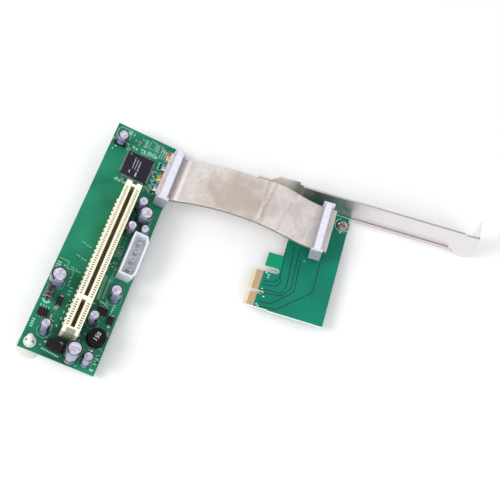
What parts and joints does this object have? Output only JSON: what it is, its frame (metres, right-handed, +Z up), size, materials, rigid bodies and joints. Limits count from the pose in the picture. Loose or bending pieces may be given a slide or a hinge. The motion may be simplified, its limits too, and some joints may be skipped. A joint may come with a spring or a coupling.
{
  "type": "pcie adapter card",
  "caption": "Edge card with slot bracket, joined by a shielded flat ribbon to a bridge board that carries one long expansion slot and a power header.",
  "frame": {"origin": "middle of the footprint, on the surface it rests on", "axes": "+X along the slot bracket towards its screw tab, +Y away from the viewer towards the bracket, +Z up"},
  "size_m": [0.2072, 0.139, 0.026],
  "materials": {
    "pcb_green": "glossy solder mask",
    "card_green": "glossy solder mask",
    "slot_cream": "satin",
    "connector_white": "satin",
    "header_white": "satin",
    "black_plastic": "matt",
    "cap_sleeve": "glossy shrink sleeve",
    "tin": "bright tin",
    "solder": "bright solder",
    "gold": "gold plated",
    "ferrite": "matt black ferrite",
    "copper": "enamelled wire",
    "ceramic_body": "fired",
    "nylon": "waxy",
    "steel": "bright plated",
    "screw_steel": "plated",
    "wire_jacket": "coloured wires",
    "shield_cloth": "metallised cloth tape"
  },
  "bodies": {
    "root": {"board_standoff": "nylon", "bracket_screws": "screw_steel", "bridge_board": "pcb_green", "bridge_board_solder": "solder", "bridge_chip": "black_plastic", "bridge_chip_leads": "tin", "capacitor_a": "cap_sleeve", "capacitor_b": "cap_sleeve", "capacitor_c": "cap_sleeve", "capacitor_corner": "cap_sleeve", "capacitor_corner_base": "black_plastic", "capacitor_corner_terminals": "tin", "capacitor_d": "cap_sleeve", "capacitor_e": "cap_sleeve", "capacitor_f": "cap_sleeve", "capacitor_g": "cap_sleeve", "capacitor_h": "cap_sleeve", "capacitor_i": "cap_sleeve", "capacitor_j": "cap_sleeve", "capacitor_k": "cap_sleeve", "capacitor_leads": "tin", "card_bracket": "steel", "card_header_base": "connector_white", "card_header_pins": "gold", "card_socket_body": "connector_white", "card_socket_cap": "connector_white", "card_socket_contacts": "gold", "chip_component_ends": "tin", "chip_components": "ceramic_body", "diode_leads": "tin", "diode_left": "black_plastic", "diode_right": "black_plastic", "driver_leads": "tin", "driver_left": "black_plastic", "driver_right": "black_plastic", "edge_card": "card_green", "edge_card_fingers": "gold", "edge_card_solder": "solder", "inductor_core": "ferrite", "inductor_terminals": "tin", "inductor_winding": "copper", "main_header_base": "connector_white", "main_header_pins": "gold", "main_socket_body": "connector_white", "main_socket_cap": "connector_white", "main_socket_contacts": "gold", "pci_slot_contacts": "gold", "pci_slot_housing": "slot_cream", "power_header_housing": "header_white", "power_header_pins": "tin", "regulator": "black_plastic", "regulator_tab_and_leads": "tin", "ribbon_cable": "wire_jacket", "shield_wrap": "shield_cloth"}
  },
  "joints": []
}
